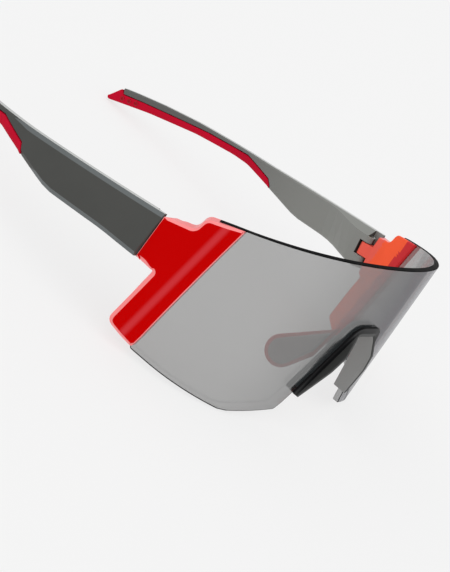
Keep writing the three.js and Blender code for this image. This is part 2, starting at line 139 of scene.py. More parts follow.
END_X, END_Y = plan_point(BEND_END, 0)
END_COS, END_SIN = math.cos(heading(BEND_END)), math.sin(heading(BEND_END))


def on_end(p, out, h):
    """The straight end of the lens: p runs back, out is away from the head, h runs down."""
    return worn(END_X + p * END_COS + out * END_SIN, END_Y + p * END_SIN - out * END_COS, h)


def slant(h):
    share = (h - FRONT_TOP) / (FRONT_BOTTOM - FRONT_TOP)
    return FRONT_SLANT * share * (1 + FRONT_BOW * (1 - share))


def outer_height(p, h):
    lean = slant(h)
    line = [(lean - 4, -0.17), (lean, 0.7), (RIDGE_P + lean, 1.72), (12.6 + 0.3 * lean, 1.8),
            (SEAM_P - 0.25 * lean, 1.16), (26, 0.7)]
    steps = [(i - 2) * 0.35 for i in range(5)]
    return sum(along(line, p + d) for d in steps) / len(steps)


def top_edge(s):
    return 0.00144 * s ** 2 + 3.9e-8 * s ** 4


def curve_through(points, t):
    """A smooth curve through points (centripetal Catmull-Rom), t from 0 to 1."""
    count = len(points) - 1
    place = t * count
    i = min(int(place), count - 1)
    w = place - i
    p1, p2 = points[i], points[i + 1]
    p0 = points[i - 1] if i > 0 else tuple(2 * a - b for a, b in zip(p1, p2))
    p3 = points[i + 2] if i + 2 <= count else tuple(2 * b - a for a, b in zip(p1, p2))
    gaps = [max(1e-4, math.dist(a, b) ** 0.5) for a, b in ((p0, p1), (p1, p2), (p2, p3))]
    out = []
    for a, b, c, d in zip(p0, p1, p2, p3):
        m1 = ((b - a) / gaps[0] - (c - a) / (gaps[0] + gaps[1]) + (c - b) / gaps[1]) * gaps[1]
        m2 = ((c - b) / gaps[1] - (d - b) / (gaps[1] + gaps[2]) + (d - c) / gaps[2]) * gaps[1]
        square = -3 * b + 3 * c - 2 * m1 - m2
        cubic = 2 * b - 2 * c + m1 + m2
        out.append(b + m1 * w + square * w ** 2 + cubic * w ** 3)
    return tuple(out)


# ---- materials ----

def arithmetic(tree, operation, value, other=None):
    """The result of one Math node."""
    node = tree.nodes.new("ShaderNodeMath")
    node.operation = operation
    tree.links.new(value, node.inputs[0])
    if other is not None:
        node.inputs[1].default_value = other
    return node.outputs["Value"]


def eased_range(tree, value, start, end, low=0.0, high=1.0):
    """low before start, high after end, with a smooth change between them."""
    span = tree.nodes.new("ShaderNodeMapRange")
    span.interpolation_type = "SMOOTHSTEP"
    span.inputs["From Min"].default_value = start
    span.inputs["From Max"].default_value = end
    span.inputs["To Min"].default_value = low
    span.inputs["To Max"].default_value = high
    tree.links.new(value, span.inputs["Value"])
    return span.outputs["Result"]


def place_axes(tree):
    """The frame's X, Y and Z at the shaded place, in metres, as a Separate XYZ node."""
    coords = tree.nodes.new("ShaderNodeTexCoord")
    split = tree.nodes.new("ShaderNodeSeparateXYZ")
    tree.links.new(coords.outputs["Object"], split.inputs["Vector"])
    return split


def ridge_highlight_mask(tree):
    """Mask of a painted highlight: 1 on the ridge down the end piece's outer face, fading to 0 a little to
    each side.
    """
    on_face = [(RIDGE_P + slant(10), 10), (RIDGE_P + slant(50), 50), (12.6, 30)]
    top, foot, beside = (rest(*on_end(p, outer_height(p, h), h)) for p, h in on_face)
    along_ridge = (foot - top).normalized()
    away = (beside - top) - along_ridge * (beside - top).dot(along_ridge)
    away.normalize()
    split = place_axes(tree)
    left_hand = tree.nodes.new("ShaderNodeCombineXYZ")
    tree.links.new(arithmetic(tree, "ABSOLUTE", split.outputs["X"]), left_hand.inputs["X"])
    tree.links.new(split.outputs["Y"], left_hand.inputs["Y"])
    tree.links.new(split.outputs["Z"], left_hand.inputs["Z"])
    offset = tree.nodes.new("ShaderNodeVectorMath")
    offset.operation = "DOT_PRODUCT"
    offset.inputs[1].default_value = away
    tree.links.new(left_hand.outputs["Vector"], offset.inputs[0])
    distance = arithmetic(tree, "SUBTRACT", offset.outputs["Value"], top.dot(away))
    distance = arithmetic(tree, "ABSOLUTE", distance)
    return eased_range(tree, distance, 0.2 * MM, 1.7 * MM, 1, 0)


def node_material(name, color, roughness, metallic=0.0, specular=0.5, coat=0.0, alpha=1.0):
    material = bpy.data.materials.new(name)
    material.use_nodes = True
    shader = material.node_tree.nodes["Principled BSDF"]
    shader.inputs["Base Color"].default_value = (*color, 1)
    shader.inputs["Roughness"].default_value = roughness
    shader.inputs["Metallic"].default_value = metallic
    shader.inputs["Specular IOR Level"].default_value = specular
    shader.inputs["Coat Weight"].default_value = coat
    shader.inputs["Coat Roughness"].default_value = 0.06
    shader.inputs["Alpha"].default_value = alpha
    return material, material.node_tree, shader


def noise(tree, scale, detail=3.0, stretch=(1, 1, 1)):
    coords = tree.nodes.new("ShaderNodeTexCoord")
    mapping = tree.nodes.new("ShaderNodeMapping")
    mapping.inputs["Scale"].default_value = stretch
    texture = tree.nodes.new("ShaderNodeTexNoise")
    texture.inputs["Scale"].default_value = scale
    texture.inputs["Detail"].default_value = detail
    tree.links.new(coords.outputs["Object"], mapping.inputs["Vector"])
    tree.links.new(mapping.outputs["Vector"], texture.inputs["Vector"])
    return texture


def vary_color(tree, shader, texture, low, high):
    ramp_node = tree.nodes.new("ShaderNodeValToRGB")
    ramp_node.color_ramp.elements[0].position = 0.3
    ramp_node.color_ramp.elements[1].position = 0.7
    ramp_node.color_ramp.elements[0].color = (*low, 1)
    ramp_node.color_ramp.elements[1].color = (*high, 1)
    tree.links.new(texture.outputs["Fac"], ramp_node.inputs["Fac"])
    tree.links.new(ramp_node.outputs["Color"], shader.inputs["Base Color"])


def vary_roughness(tree, shader, texture, low, high):
    span = tree.nodes.new("ShaderNodeMapRange")
    span.inputs["To Min"].default_value = low
    span.inputs["To Max"].default_value = high
    tree.links.new(texture.outputs["Fac"], span.inputs["Value"])
    tree.links.new(span.outputs["Result"], shader.inputs["Roughness"])


def grain(tree, shader, texture, distance, strength=0.5):
    bump = tree.nodes.new("ShaderNodeBump")
    bump.inputs["Strength"].default_value = strength
    bump.inputs["Distance"].default_value = distance
    tree.links.new(texture.outputs["Fac"], bump.inputs["Height"])
    tree.links.new(bump.outputs["Normal"], shader.inputs["Normal"])


def moulded(name, color, roughness, specular=0.5, coat=0.0, size=900, depth=4e-6, spread=0.06):
    """Moulded plastic: slight colour drift, uneven gloss, and a very fine surface texture."""
    material, tree, shader = node_material(name, color, roughness, specular=specular, coat=coat)
    low = [c * (1 - spread) for c in color]
    high = [min(1, c * (1 + spread)) for c in color]
    vary_color(tree, shader, noise(tree, 60), low, high)
    vary_roughness(tree, shader, noise(tree, 220, 5), roughness * 0.85, roughness * 1.15)
    grain(tree, shader, noise(tree, size, 4), depth)
    return material


def blend(tree, shader, share, color_a, color_b):
    """The shader's colour, from color_a where share is 0 to color_b where it is 1."""
    mixer = tree.nodes.new("ShaderNodeMix")
    mixer.data_type = "RGBA"
    mixer.inputs["A"].default_value = (*color_a, 1)
    mixer.inputs["B"].default_value = (*color_b, 1)
    tree.links.new(share, mixer.inputs["Factor"])
    tree.links.new(mixer.outputs["Result"], shader.inputs["Base Color"])


LENS_FILM, tree, shader = node_material("smoke_lens", (0.33, 0.33, 0.325), 0.16, metallic=1.0, alpha=0.5)
shader.inputs["Specular Tint"].default_value = (0.45, 0.45, 0.48, 1)
vary_roughness(tree, shader, noise(tree, 40, 2), 0.15, 0.2)
# Painted shade across the lens: the film's alpha falls from 0.66 at the middle to 0.5 towards the ends.
from_middle = arithmetic(tree, "ABSOLUTE", place_axes(tree).outputs["X"])
painted_lens_shade = eased_range(tree, from_middle, 4 * MM, 45 * MM, 0.66, 0.5)
tree.links.new(painted_lens_shade, shader.inputs["Alpha"])
LENS_EDGE = moulded("lens_edge", (0.002, 0.002, 0.002), 0.5, specular=0.03)
RED_FACE, tree, shader = node_material("red_face", (0.5, 0.0, 0.0), 0.16, specular=0.02)
vary_roughness(tree, shader, noise(tree, 220, 5), 0.14, 0.19)
# Painted highlight: the red face is made lighter along its ridge, where light would glint on the crease.
blend(tree, shader, ridge_highlight_mask(tree), (0.5, 0.0, 0.0), (0.56, 0.03, 0.036))
# Painted highlight: a pale pink copy of the red for the bevels and walls, where light glints on the edges.
RED_BEVEL_PAINTED_HIGHLIGHT = moulded("red_bevel_painted_highlight", (0.95, 0.25, 0.25), 0.3, specular=0.3)
# Painted light and shade: lit and shaded copies of the red for the inner face's broad plane, its rear plane
# and its chamfer.
RED_PLANE_PAINTED_LIGHT = moulded("red_plane_painted_light", (0.95, 0.1, 0.03), 0.4, specular=0.1)
RED_REAR_PAINTED_LIGHT = moulded("red_rear_painted_light", (0.85, 0.12, 0.085), 0.4, specular=0.05)
RED_CHAMFER_PAINTED_SHADE = moulded("red_chamfer_painted_shade", (0.6, 0.02, 0.025), 0.35, specular=0.15)
RED_PART = moulded("red_part", (0.6, 0.03, 0.02), 0.3, specular=0.15)
PAD_RED = moulded("pad_red", (0.6, 0.02, 0.03), 0.45, specular=0.2)
TEMPLE_FACE = moulded("gunmetal_face", (0.054, 0.055, 0.051), 0.36, specular=0.25, size=1600, depth=6e-6)
# Painted light: lighter copies of the gunmetal for the top face and the bevels, where light falls on them.
GUNMETAL_TOP_PAINTED_LIGHT = moulded("gunmetal_top_painted_light", (0.5, 0.51, 0.5), 0.34, size=1600, depth=6e-6)
GUNMETAL_BEVEL_PAINTED_LIGHT = moulded("gunmetal_bevel_painted_light", (0.1, 0.112, 0.114), 0.3, size=1600, depth=5e-6)
# Painted light and shade: the inner face is a lighter copy of the gunmetal, fading darker towards the ear.
GUNMETAL_INSIDE_PAINTED_LIGHT = moulded("gunmetal_inside_painted_light", (0.2, 0.2, 0.19), 0.4, specular=0.3, size=1600, depth=6e-6)
tree = GUNMETAL_INSIDE_PAINTED_LIGHT.node_tree
painted_shade_towards_ear = eased_range(tree, place_axes(tree).outputs["Y"], -20 * MM, 60 * MM)
blend(tree, tree.nodes["Principled BSDF"], painted_shade_towards_ear, (0.23, 0.235, 0.22), (0.1, 0.1, 0.095))
BRACKET_FACE = moulded("bracket_lip", (0.03, 0.031, 0.03), 0.4, specular=0.25, size=1400, depth=5e-6)
BRACKET_INSIDE = moulded("bracket_inside", (0.23, 0.23, 0.225), 0.45, specular=0.25, size=1400, depth=5e-6)
BRACKET_BACK = moulded("bracket_back", (0.16, 0.19, 0.2), 0.45, specular=0.25, size=1400, depth=5e-6)
GRIP_RUBBER = moulded("red_rubber", (0.5, 0.0, 0.02), 0.6, specular=0.1, size=2600, depth=1.2e-5,
                      spread=0.1)
GRIP_DARK = moulded("red_rubber_dark", (0.3, 0.01, 0.015), 0.5, specular=0.3)
BLACK_SATIN = moulded("black_satin", (0.003, 0.003, 0.0035), 0.42, specular=0.15, size=1400, depth=5e-6)
PAD_RUBBER = moulded("grey_rubber", (0.26, 0.22, 0.225), 0.75, specular=0.25, size=2600, depth=1.2e-5,
                     spread=0.1)
STEEL, tree, shader = node_material("turned_steel", (0.6, 0.6, 0.6), 0.3, metallic=1.0)
vary_roughness(tree, shader, noise(tree, 900, 3, (1, 1, 12)), 0.22, 0.38)
BRASS, tree, shader = node_material("turned_brass", (0.66, 0.5, 0.24), 0.32, metallic=1.0)
vary_roughness(tree, shader, noise(tree, 900, 3, (1, 1, 12)), 0.25, 0.42)


# ---- mesh tools ----

def piece(name, points, faces, materials, body, replaces=(), sharp=32, face_material=None):
    mesh = bpy.data.meshes.new(name)
    mesh.from_pydata([rest(*p) for p in points], [], faces)
    thing = bpy.data.objects.new(name, mesh)
    bpy.context.scene.collection.objects.link(thing)
    for material in materials:
        mesh.materials.append(material)
    if face_material:
        for face, index in zip(mesh.polygons, face_material):
            face.material_index = index
    mesh.validate()
    outward(mesh)
    mesh.shade_smooth()
    mesh.set_sharp_from_angle(angle=math.radians(sharp))
    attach(thing, body)
    if replaces:
        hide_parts(*replaces)
    return thing


def outward(mesh):
    """Turns the whole mesh the right way out, going by its signed volume."""
    volume = 0
    for face in mesh.polygons:
        corners = [mesh.vertices[i].co for i in face.vertices]
        for a, b in zip(corners[1:], corners[2:]):
            volume += corners[0].dot(a.cross(b))
    if volume < 0:
        mesh.flip_normals()


def skin(rings, closed_ends=True):
    """Points and faces of a skin through equal closed rings, with capped ends."""
    count = len(rings[0])
    points = [p for ring in rings for p in ring]
    faces = []
    for i in range(len(rings) - 1):
        for j in range(count):
            a, b = i * count + j, i * count + (j + 1) % count
            faces.append((a, b, b + count, a + count))
    if closed_ends:
        faces.append(tuple(reversed(range(count))))
        faces.append(tuple(range((len(rings) - 1) * count, len(rings) * count)))
    return points, faces


def sided(points, side):
    """Left-hand points as they are, or mirrored for the right-hand side."""
    return points if side == "left" else [(-x, y, z) for x, y, z in points]


def dress(node, material, bevel=0.0, sharp=30):
    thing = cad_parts[node]
    thing.data.materials.clear()
    thing.data.materials.append(material)
    thing.data.shade_smooth()
    thing.data.set_sharp_from_angle(angle=math.radians(sharp))
    if bevel:
        soft = thing.modifiers.new("edges", "BEVEL")
        soft.width = bevel * MM
        soft.segments = 2
        soft.limit_method = "ANGLE"
        soft.angle_limit = math.radians(32)
    return thing


def rounded(corners, steps=6):
    """An outline from (x, y, radius) corners, each rounded by a curve of about that radius."""
    points = []
    for i, (x, y, radius) in enumerate(corners):
        here = Vector((x, y))
        if not radius:
            points.append(here)
            continue
        before, after = Vector(corners[i - 1][:2]), Vector(corners[(i + 1) % len(corners)][:2])
        start = here + (before - here).normalized() * radius
        end = here + (after - here).normalized() * radius
        for k in range(steps + 1):
            t = k / steps
            points.append(start * (1 - t) ** 2 + here * 2 * t * (1 - t) + end * t * t)
    return points


def dense(outline, spacing):
    """The closed outline with its long sides divided."""
    points = []
    for i, start in enumerate(outline):
        end = outline[(i + 1) % len(outline)]
        count = max(1, round((end - start).length / spacing))
        points += [start.lerp(end, k / count) for k in range(count)]
    return points


def inset(outline, width):
    """The outline moved inwards by width(point); the outline runs anticlockwise in (x, y)."""
    moved = []
    for i, here in enumerate(outline):
        before = (here - outline[i - 1]).normalized()
        after = (outline[(i + 1) % len(outline)] - here).normalized()
        normal = Vector((-before.y - after.y, before.x + after.x)).normalized()
        stretch = min(1.6, 1 / max(0.3, normal.dot(Vector((-before.y, before.x)))))
        moved.append(here + normal * width(here) * stretch)
    return moved


def inside(outline, point):
    odd = False
    for i, a in enumerate(outline):
        b = outline[i - 1]
        if (a.y > point.y) != (b.y > point.y):
            if point.x < (b.x - a.x) * (point.y - a.y) / (b.y - a.y) + a.x:
                odd = not odd
    return odd


def filled(outline, spacing):
    """Points inside an outline on a grid, and triangles over them and the outline."""
    low_x, high_x = min(p.x for p in outline), max(p.x for p in outline)
    low_y, high_y = min(p.y for p in outline), max(p.y for p in outline)
    grid = []
    for i in range(int((high_x - low_x) / spacing) + 1):
        for j in range(int((high_y - low_y) / spacing) + 1):
            point = Vector((low_x + (i + 0.5) * spacing, low_y + (j + 0.5) * spacing))
            if inside(outline, point) and min((point - q).length for q in outline) > spacing * 0.5:
                grid.append(point)
    points = outline + grid
    count = len(outline)
    edges = [(i, (i + 1) % count) for i in range(count)]
    result = delaunay_2d_cdt(points, edges, [], 1, 1e-5)
    return result[0], result[2]


# ---- lens ----

def lens_columns():
    spread = [i * 1.0 for i in range(int(BEND_END + LENS_TONGUE) + 1)]
    near = [4.6 + 0.23 * i for i in range(11)] + [6.9 + 0.5 * i for i in range(23)]
    near += [17.9, 18.4, 18.9, 19.2, 19.6]
    half = sorted(set(round(s, 3) for s in spread + near + [35.4, 38.6, 65.7, 71.2]))
    return [-s for s in reversed(half[1:])] + half


def lens_ring(s):
    lean = ramp(abs(s), 52, BEND_END)
    side = -1 if s < 0 else 1
    top = top_edge(s)
    bottom = along(LOWER_EDGE, abs(s) + lean * FRONT_SLANT)
    soft = 0.22
    t = LENS_THICKNESS
    corners = [(top, soft), (top + soft, 0), (bottom - 0.4, 0), (bottom, soft), (bottom, t - soft),
               (bottom - soft, t), (top + soft, t), (top, t - soft)]
    return [on_lens(s + side * lean * slant(h), h, depth) for h, depth in corners]


def make_lens():
    columns = lens_columns()
    points, faces = skin([lens_ring(s) for s in columns])
    zones = []
    for face in range(len(faces) - 2):
        place, part_of_ring = columns[face // 8], face % 8
        if part_of_ring in (0, 2, 6, 7):
            zones.append(1)
        else:
            zones.append(2 if part_of_ring == 3 and abs(place) < 15.6 else 0)
    piece("lens_shield", points, faces, [LENS_FILM, LENS_EDGE, BRACKET_BACK], "front",
          ["shield_lens"], sharp=20, face_material=zones + [1, 1])


# ---- temples' grips ----

INNER_FACE = PIVOT[0] - BARREL_R


def temple_ring(share):
    x, y = curve_through(TEMPLE_PLAN, share)
    top, bottom = eased(UPPER_LINE, y, 3), eased(LOWER_LINE, y, 1.2)
    deep = top - bottom
    low = x + mix(0.1, 0.21, ramp(y, 44, 62)) * deep
    thick = mix(3.2, 2.9, ramp(y, 80, 110))
    blade = ramp(y, 51, 70)
    chamfer = mix(1.3, 0.5, ramp(y, 100, 108))
    foot = min(1.4, deep / 4)
    inner_low, inner_top = mix(INNER_FACE, low - thick, blade), mix(INNER_FACE, x - thick, blade)
    return [(x - 2.6, y, top), (x - 0.5, y, top), (x, y, top - chamfer), (low, y, bottom + foot),
            (low - 0.7, y, bottom), (inner_low + 0.5, y, bottom), (inner_low, y, bottom + foot / 2),
            (inner_top, y, top - mix(2.2, 0.5, blade))]


# ---- end pieces ----

def front_edge(h):
    return slant(h)


def rear_edge(h):
    return SEAM_P - 0.25 * slant(h)


def end_outline():
    """The T seen square to the plate, as (p, h) points."""
    front = [(front_edge(h), h, 0) for h in (50, 44, 38, 32, 26, 20, 14, 10)]
    corners = [
        (0.1, 6.75, 0.2),
        *reversed(front),
        (6.0, 54.65, 0.9),
        (15.9, 51, 2.4),
        (13.8, 31.1, 0.9),
        (rear_edge(30.7), 30.72, 0.25),
        (rear_edge(15.8), 15.75, 0.25),
        (11.6, 14, 1.6),
        (10.8, 9.4, 1.7),
        (8, 8.75, 0.8),
        (1, 6.95, 0.4),
    ]
    return dense(rounded(corners[::-1]), 0.9)


def inner_height(p, h):
    lean = slant(h)
    line = [(-4, -2.4), (-0.6 + lean, -2.6), (3 + 0.9 * lean, -3.2), (15.4, -3.2), (17.8, -3.8), (24, -5.2)]
    return along(line, p)


def face_bevel(point):
    """Width of the bevel round the outer face: fine at the top and the lens, broad below the arm."""
    p, h = point
    if p < front_edge(h) + 1.2 and 7.6 < h < 53.6:
        return 0.3
    if h < 17:
        return 0.62 if p < rear_edge(h) - 0.4 else 0.2
    if h < 30.2:
        return 0.15
    if h < 31.5 and p > 14.6:
        return mix(0.7, 1.5, ramp(p, 14.6, 18))
    return 1.05


def inside_zone(point):
    """The inner face has a chamfer at the lens, a broad plane, and a plane that turns in at the hinge; each
    takes its own lit copy of the red, as painted light and shade.
    """
    if point.x < 3 + 0.9 * slant(point.y):
        return 4
    return 3 if point.x > 14 else 2


def side_zone(point):
    """The wall at the lens is in the face's material, and the rest of the wall in the pale edge copy, a
    painted highlight.
    """
    return 0 if point.x < front_edge(point.y) + 1.0 else 1


def back_shift(point):
    """How far the inner face is moved along p from the outline, at the lens and at the arm."""
    return -0.6 * (1 - ramp(point.x - front_edge(point.y), 0, 6)) - 3.1 * ramp(point.x, 14, 20)


def arm_rise(point):
    """How far the top of the arm's inner edge is raised, where it is moved back."""
    return 0.08 * back_shift(point) if point.x > 11.6 and point.y < 17 else 0


def make_end_piece(side):
    outline = end_outline()
    face = inset(outline, face_bevel)
    back = [Vector((q.x + back_shift(q), q.y + arm_rise(q))) for q in outline]
    back_face = inset(back, lambda q: 0.45)
    rim = [(q, outer_height(f.x, f.y) - 0.95 * face_bevel(q)) for q, f in zip(outline, face)]
    points, faces, zones = [], [], []
    count = len(outline)

    def add_ring(entries):
        start = len(points)
        points.extend(on_end(q.x, out, q.y) for q, out in entries)
        return start

    def strip(a, b, zone):
        for i in range(count):
            k = (i + 1) % count
            faces.append((a + i, a + k, b + k, b + i))
            zones.append(zone(outline[i]) if callable(zone) else zone)

    starts = [
        add_ring([(f, outer_height(f.x, f.y)) for f in face]),
        add_ring(rim),
        add_ring([(q, inner_height(q.x, q.y) + 0.4) for q in back]),
        add_ring([(q, inner_height(q.x, q.y)) for q in back_face]),
    ]
    strip(starts[0], starts[1], 1)
    strip(starts[1], starts[2], side_zone)
    strip(starts[2], starts[3], inside_zone)
    fills = ((starts[0], face, outer_height, 0), (starts[3], back_face, inner_height, 2))
    for start, boundary, height, zone in fills:
        spots, triangles = filled(boundary, 1.1)
        base = len(points)
        for spot in spots[count:]:
            points.append(on_end(spot.x, height(spot.x, spot.y), spot.y))
        index = lambda n: start + n if n < count else base + n - count
        for triangle in triangles:
            corners = [index(n) for n in triangle]
            faces.append(tuple(corners) if zone == 0 else tuple(reversed(corners)))
            middle = sum((spots[n] for n in triangle), Vector((0, 0))) / 3
            zones.append(zone if zone == 0 else inside_zone(middle))
    # Past the face, these are copies of one red plastic made lighter or darker by face: a painted highlight
    # on the edges and painted light and shade on the inner planes.
    zone_materials = [RED_FACE, RED_BEVEL_PAINTED_HIGHLIGHT, RED_PLANE_PAINTED_LIGHT, RED_REAR_PAINTED_LIGHT, RED_CHAMFER_PAINTED_SHADE]
    shell = piece(f"{side}_end_piece_shell", sided(points, side), faces, zone_materials, "front",
                  [f"{side}_end_piece"], sharp=20, face_material=zones)
    hollow(shell, side)
    knuckle(side)


def rod_points(x, y, radius, low, high, sides=40):
    """Rings of an upright rod with softened rims."""
    rim = 0.12
    rings = []
    for z, r in ((low, radius - rim), (low + rim, radius), (high - rim, radius), (high, radius - rim)):
        turns = [2 * math.pi * i / sides for i in range(sides)]
        rings.append([(x + r * math.cos(a), y + r * math.sin(a), z) for a in turns])
    return rings


def hollow(shell, side):
    """Cuts the round hollow that the temple's lugs turn in."""
    points, faces = skin(rod_points(*PIVOT, RECESS_R, RECESS_BOTTOM, 5))
    mesh = bpy.data.meshes.new("cutter")
    mesh.from_pydata([rest(*p) for p in sided(points, side)], [], faces)
    outward(mesh)
    cutter = bpy.data.objects.new("cutter", mesh)
    bpy.context.scene.collection.objects.link(cutter)
    cut = shell.modifiers.new("hollow", "BOOLEAN")
    cut.operation = "DIFFERENCE"
    cut.solver = "EXACT"
    cut.use_hole_tolerant = True
    cut.object = cutter
    bpy.context.view_layer.update()
    result = bpy.data.meshes.new_from_object(shell.evaluated_get(bpy.context.evaluated_depsgraph_get()))
    shell.modifiers.remove(cut)
    shell.data = result
    bpy.data.objects.remove(cutter)


def knuckle(side):
    """The tongue that carries the hinge screw: a neck from the arm with a round end."""
    x, y = PIVOT
    outline = [Vector((x + BARREL_R, SEAM_Y - 2.5)), Vector((x + BARREL_R, y))]
    outline += [Vector((x + BARREL_R * math.cos(a), y + BARREL_R * math.sin(a)))
                for a in (math.pi * i / 16 for i in range(1, 16))]
    outline += [Vector((x - BARREL_R, y)), Vector((x - BARREL_R, SEAM_Y - 2.5))]
    rings = []
    rim = 0.15
    layers = ((TONGUE_BOTTOM, rim), (TONGUE_BOTTOM + rim, 0), (TONGUE_TOP - rim, 0), (TONGUE_TOP, rim))
    for z, narrow in layers:
        rings.append([(q.x, q.y, z) for q in inset(outline, lambda _: narrow)])
    points, faces = skin(rings)
    # The tongue takes the lighter rear copy of the red, painted light.
    piece(f"{side}_hinge_tongue", sided(points, side), faces, [RED_REAR_PAINTED_LIGHT], "front")


# ---- ear grips ----

GRIP_LINE = [(98.4, -16.6), (98.6, -16.2), (100.1, -13.9), (111.5, -9.95), (130, -9.9), (158, -11.5),
             (165.9, -12.2), (167.4, -9), (200, -9)]


def grip_ring(y):
    low_share, high_share = 0.0, 1.0
    for _ in range(30):
        share = (low_share + high_share) / 2
        if curve_through(TEMPLE_PLAN, share)[1] < y:
            low_share = share
        else:
            high_share = share
    section = temple_ring(share)
    top = min(along(GRIP_LINE, y), section[0][2], mix(-9.4, -15.9, (y - 166) / 6))
    floor = section[4][2]
    top = max(top, floor + 0.3)
    deep = top - floor

    def between(a, b, z):
        t = min(1, max(0, (z - a[2]) / (b[2] - a[2])))
        return mix(a[0], b[0], t)

    soft = min(0.45, deep / 4)
    outer_top = between(section[3], section[2], top)
    inner_top = between(section[6], section[7], top)
    outer_soft = between(section[3], section[2], top - soft)
    inner_soft = between(section[6], section[7], top - soft)
    low, foot = section[3], min(1.0, deep / 3)
    crown = 0.12
    ring = [
        (inner_top + soft, top),
        (outer_top - soft, top),
        (outer_top - soft * 0.3, top - soft * 0.3),
        (outer_soft, top - soft),
        (mix(outer_soft, low[0], 0.5) + crown, mix(top - soft, floor + foot, 0.5)),
        (low[0], floor + foot),
        (low[0] - foot * 0.25, floor + foot * 0.3),
        (section[4][0] - 0.1, floor),
        (section[5][0] + 0.2, floor),
        (section[6][0] + foot * 0.2, floor + foot * 0.3),
        (section[6][0], floor + foot),
        (mix(section[6][0], inner_soft, 0.5) - crown, mix(floor + foot, top - soft, 0.5)),
        (inner_soft, top - soft),
        (inner_top + soft * 0.3, top - soft * 0.3),
    ]
    return [(x, y, z) for x, z in ring]


def make_grip(side):
    ys = [98.5 + 0.25 * i for i in range(8)] + [100.6 + 0.9 * i for i in range(72)]
    ys = [y for y in ys if y < 165] + [165.2, 165.9, 166.3, 166.7, 167.1, 167.5, 168, 169, 170, 171]
    rings = [grip_ring(y) for y in ys]
    last = rings[-1]
    middle = [sum(c) / len(last) for c in zip(*last)]
    for y, share in ((171.4, 0.8), (171.8, 0.5), (172.1, 0.2)):
        slide = (y - 171) * -0.42
        rings.append([(mix(middle[0], x, share) + slide, y, mix(middle[2], z, share)) for x, _, z in last])
    points, faces = skin(rings)
    piece(f"{side}_rubber_grip", sided(points, side), faces, [GRIP_RUBBER], f"{side}_arm",
          [f"{side}_ear_grip"], sharp=50)


# ---- nose pads ----

PAD_ROOT = Vector((10.28, 8.99, -31.5))
PAD_U = Vector((0.368, 0.176, -0.913))
PAD_V = Vector((0.402, 0.855, 0.327))
PAD_W = Vector((0.838, -0.488, 0.244))
PAD_CENTRE, PAD_RADIUS = Vector((11, 8.45)), 5.2


def paddle(drawn_in):
    """Points round the paddle: a straight root along the bracket's leg and a round end."""
    radius = PAD_RADIUS - drawn_in
    foot = 0.3 + drawn_in
    corners = [Vector((5.2 - drawn_in, foot)), Vector((-6.8 + 2.4 * drawn_in, foot))]
    angles = []
    for corner, turn in zip(corners, (1, -1)):
        back = corner - PAD_CENTRE
        angles.append(math.atan2(back.y, back.x) + turn * math.acos(radius / back.length))
    start, end = angles[0], angles[1] % (2 * math.pi)
    steps = 36
    arc = [PAD_CENTRE + radius * Vector((math.cos(a), math.sin(a)))
           for a in (mix(start, end, k / steps) for k in range(steps + 1))]
    return dense_open([corners[0], *arc, corners[1]])


def dense_open(points):
    """The paddle's closed outline with its three straight sides divided."""
    root = [points[-1].lerp(points[0], k / 8) for k in range(1, 8)]
    lower = [points[0].lerp(points[1], k / 6) for k in range(6)]
    upper = [points[-2].lerp(points[-1], k / 8) for k in range(1, 9)]
    return lower + points[1:-1] + upper + root


def pad_skin(layers):
    rings = []
    for drawn_in, height in layers:
        level = PAD_ROOT + PAD_W * height
        rings.append([tuple(level + PAD_U * q.x + PAD_V * q.y) for q in paddle(drawn_in)])
    return skin(rings)


def make_pads(side):
    plate = 0.6
    points, faces = pad_skin([(0.3, -plate), (0.08, -plate + 0.08), (0, -plate + 0.3), (0, plate - 0.3),
                              (0.08, plate - 0.08), (0.3, plate)])
    piece(f"{side}_pad_frame", sided(points, side), faces, [PAD_RED], "front",
          [f"{side}_nose_pad_carrier"], sharp=60)
    cushion = [(1.35, 0.7), (1.1, 0.95), (1.15, 1.5), (1.4, 2.0), (1.9, 2.35), (2.6, 2.55), (3.3, 2.62)]
    outer = [(1.35, 0.5), (1.15, 0.7), (1.2, 0.95), (1.5, 1.2), (2.1, 1.33), (3.2, 1.4)]
    points, faces = pad_skin([(a, -b) for a, b in reversed(cushion)] + outer)
    piece(f"{side}_soft_pad", sided(points, side), faces, [PAD_RUBBER], "front",
          [f"{side}_nose_pad"], sharp=60)


# ---- temples ----

def make_temple(side):
    """The CAD temple, with its top, its bevels, its inner face and its outer face each in its own material;
    the top and the bevels are lighter copies of the gunmetal as painted light, and the inner face a lighter
    copy with painted shade towards the ear.
    """
    temple = dress(f"{side}_temple", TEMPLE_FACE, 0.0, 18)
    for material in (GUNMETAL_TOP_PAINTED_LIGHT, GUNMETAL_BEVEL_PAINTED_LIGHT, GUNMETAL_INSIDE_PAINTED_LIGHT):
        temple.data.materials.append(material)
    hand = 1 if side == "left" else -1
    for face in temple.data.polygons:
        up = math.sin(PITCH) * face.normal.y + math.cos(PITCH) * face.normal.z
        out = hand * face.normal.x
        y, z = as_worn(face.center)
        upper = up > 0.3 and z > TEMPLE_TOP - 1.6 and y < 106
        lower = up < -0.3 and z < along(LOWER_LINE, y) + 1.3 and y < 92
        # Faces facing up take the painted-light top copy, the edge bevels the painted-light bevel copy, and
        # inner faces the painted light and shade copy.
        if up > 0.9:
            face.material_index = 1
        elif out > 0.15 and (upper or lower):
            face.material_index = 2
        elif out < -0.4:
            face.material_index = 3


